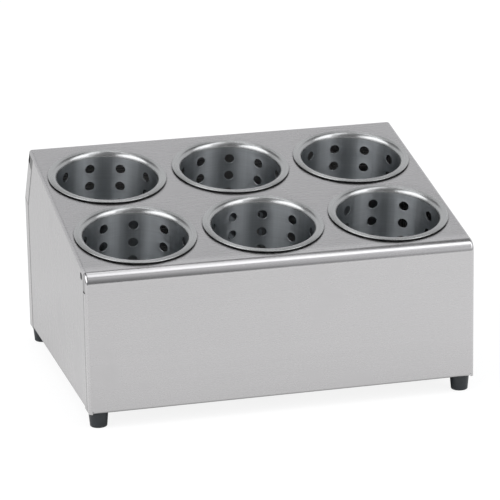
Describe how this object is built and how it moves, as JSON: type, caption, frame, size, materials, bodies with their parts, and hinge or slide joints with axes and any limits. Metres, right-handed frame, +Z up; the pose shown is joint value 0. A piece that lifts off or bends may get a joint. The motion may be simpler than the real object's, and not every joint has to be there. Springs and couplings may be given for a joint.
{
  "type": "cutlery dispenser",
  "caption": "Folded sheet-steel counter dispenser whose perforated round cups hang by their rims in a sloped top panel and lift out, standing on tapered rubber feet.",
  "frame": {"origin": "on the surface it stands on, under the middle of the housing", "axes": "+X along the front from left to right as seen from the front, +Y towards the back, +Z up"},
  "size_m": [0.37, 0.2946, 0.2033],
  "materials": {
    "housing_sheet": "fine straight grain",
    "cup_sheet": "fine grain round the cup, polished rim",
    "foot_rubber": "matte",
    "foot_fastener": "plated"
  },
  "bodies": {
    "housing": {"top_panel": "housing_sheet", "front_panel": "housing_sheet", "upper_back_panel": "housing_sheet", "back_panel": "housing_sheet", "side_panel_left": "housing_sheet", "side_panel_right": "housing_sheet", "foot_front_left": "foot_rubber", "foot_front_right": "foot_rubber", "foot_back_left": "foot_rubber", "foot_back_right": "foot_rubber", "foot_washer_front_left": "foot_fastener", "foot_washer_front_right": "foot_fastener", "foot_washer_back_left": "foot_fastener", "foot_washer_back_right": "foot_fastener", "foot_screw_front_left": "foot_fastener", "foot_screw_front_right": "foot_fastener", "foot_screw_back_left": "foot_fastener", "foot_screw_back_right": "foot_fastener", "foot_nut_front_left": "foot_fastener", "foot_nut_front_right": "foot_fastener", "foot_nut_back_left": "foot_fastener", "foot_nut_back_right": "foot_fastener"},
    "cup_front_left": {"cup_front_left": "cup_sheet", "cup_rim_front_left": "cup_sheet"},
    "cup_front_middle": {"cup_front_middle": "cup_sheet", "cup_rim_front_middle": "cup_sheet"},
    "cup_front_right": {"cup_front_right": "cup_sheet", "cup_rim_front_right": "cup_sheet"},
    "cup_back_left": {"cup_back_left": "cup_sheet", "cup_rim_back_left": "cup_sheet"},
    "cup_back_middle": {"cup_back_middle": "cup_sheet", "cup_rim_back_middle": "cup_sheet"},
    "cup_back_right": {"cup_back_right": "cup_sheet", "cup_rim_back_right": "cup_sheet"}
  },
  "joints": [
    {"name": "cup_front_left_lift", "type": "slide", "parent": "housing", "child": "cup_front_left", "axis": [0, -0.2164, 0.9763], "range_m": [0, 0.145]},
    {"name": "cup_front_middle_lift", "type": "slide", "parent": "housing", "child": "cup_front_middle", "axis": [0, -0.2164, 0.9763], "range_m": [0, 0.145]},
    {"name": "cup_front_right_lift", "type": "slide", "parent": "housing", "child": "cup_front_right", "axis": [0, -0.2164, 0.9763], "range_m": [0, 0.145]},
    {"name": "cup_back_left_lift", "type": "slide", "parent": "housing", "child": "cup_back_left", "axis": [0, -0.2164, 0.9763], "range_m": [0, 0.145]},
    {"name": "cup_back_middle_lift", "type": "slide", "parent": "housing", "child": "cup_back_middle", "axis": [0, -0.2164, 0.9763], "range_m": [0, 0.145]},
    {"name": "cup_back_right_lift", "type": "slide", "parent": "housing", "child": "cup_back_right", "axis": [0, -0.2164, 0.9763], "range_m": [0, 0.145]}
  ]
}
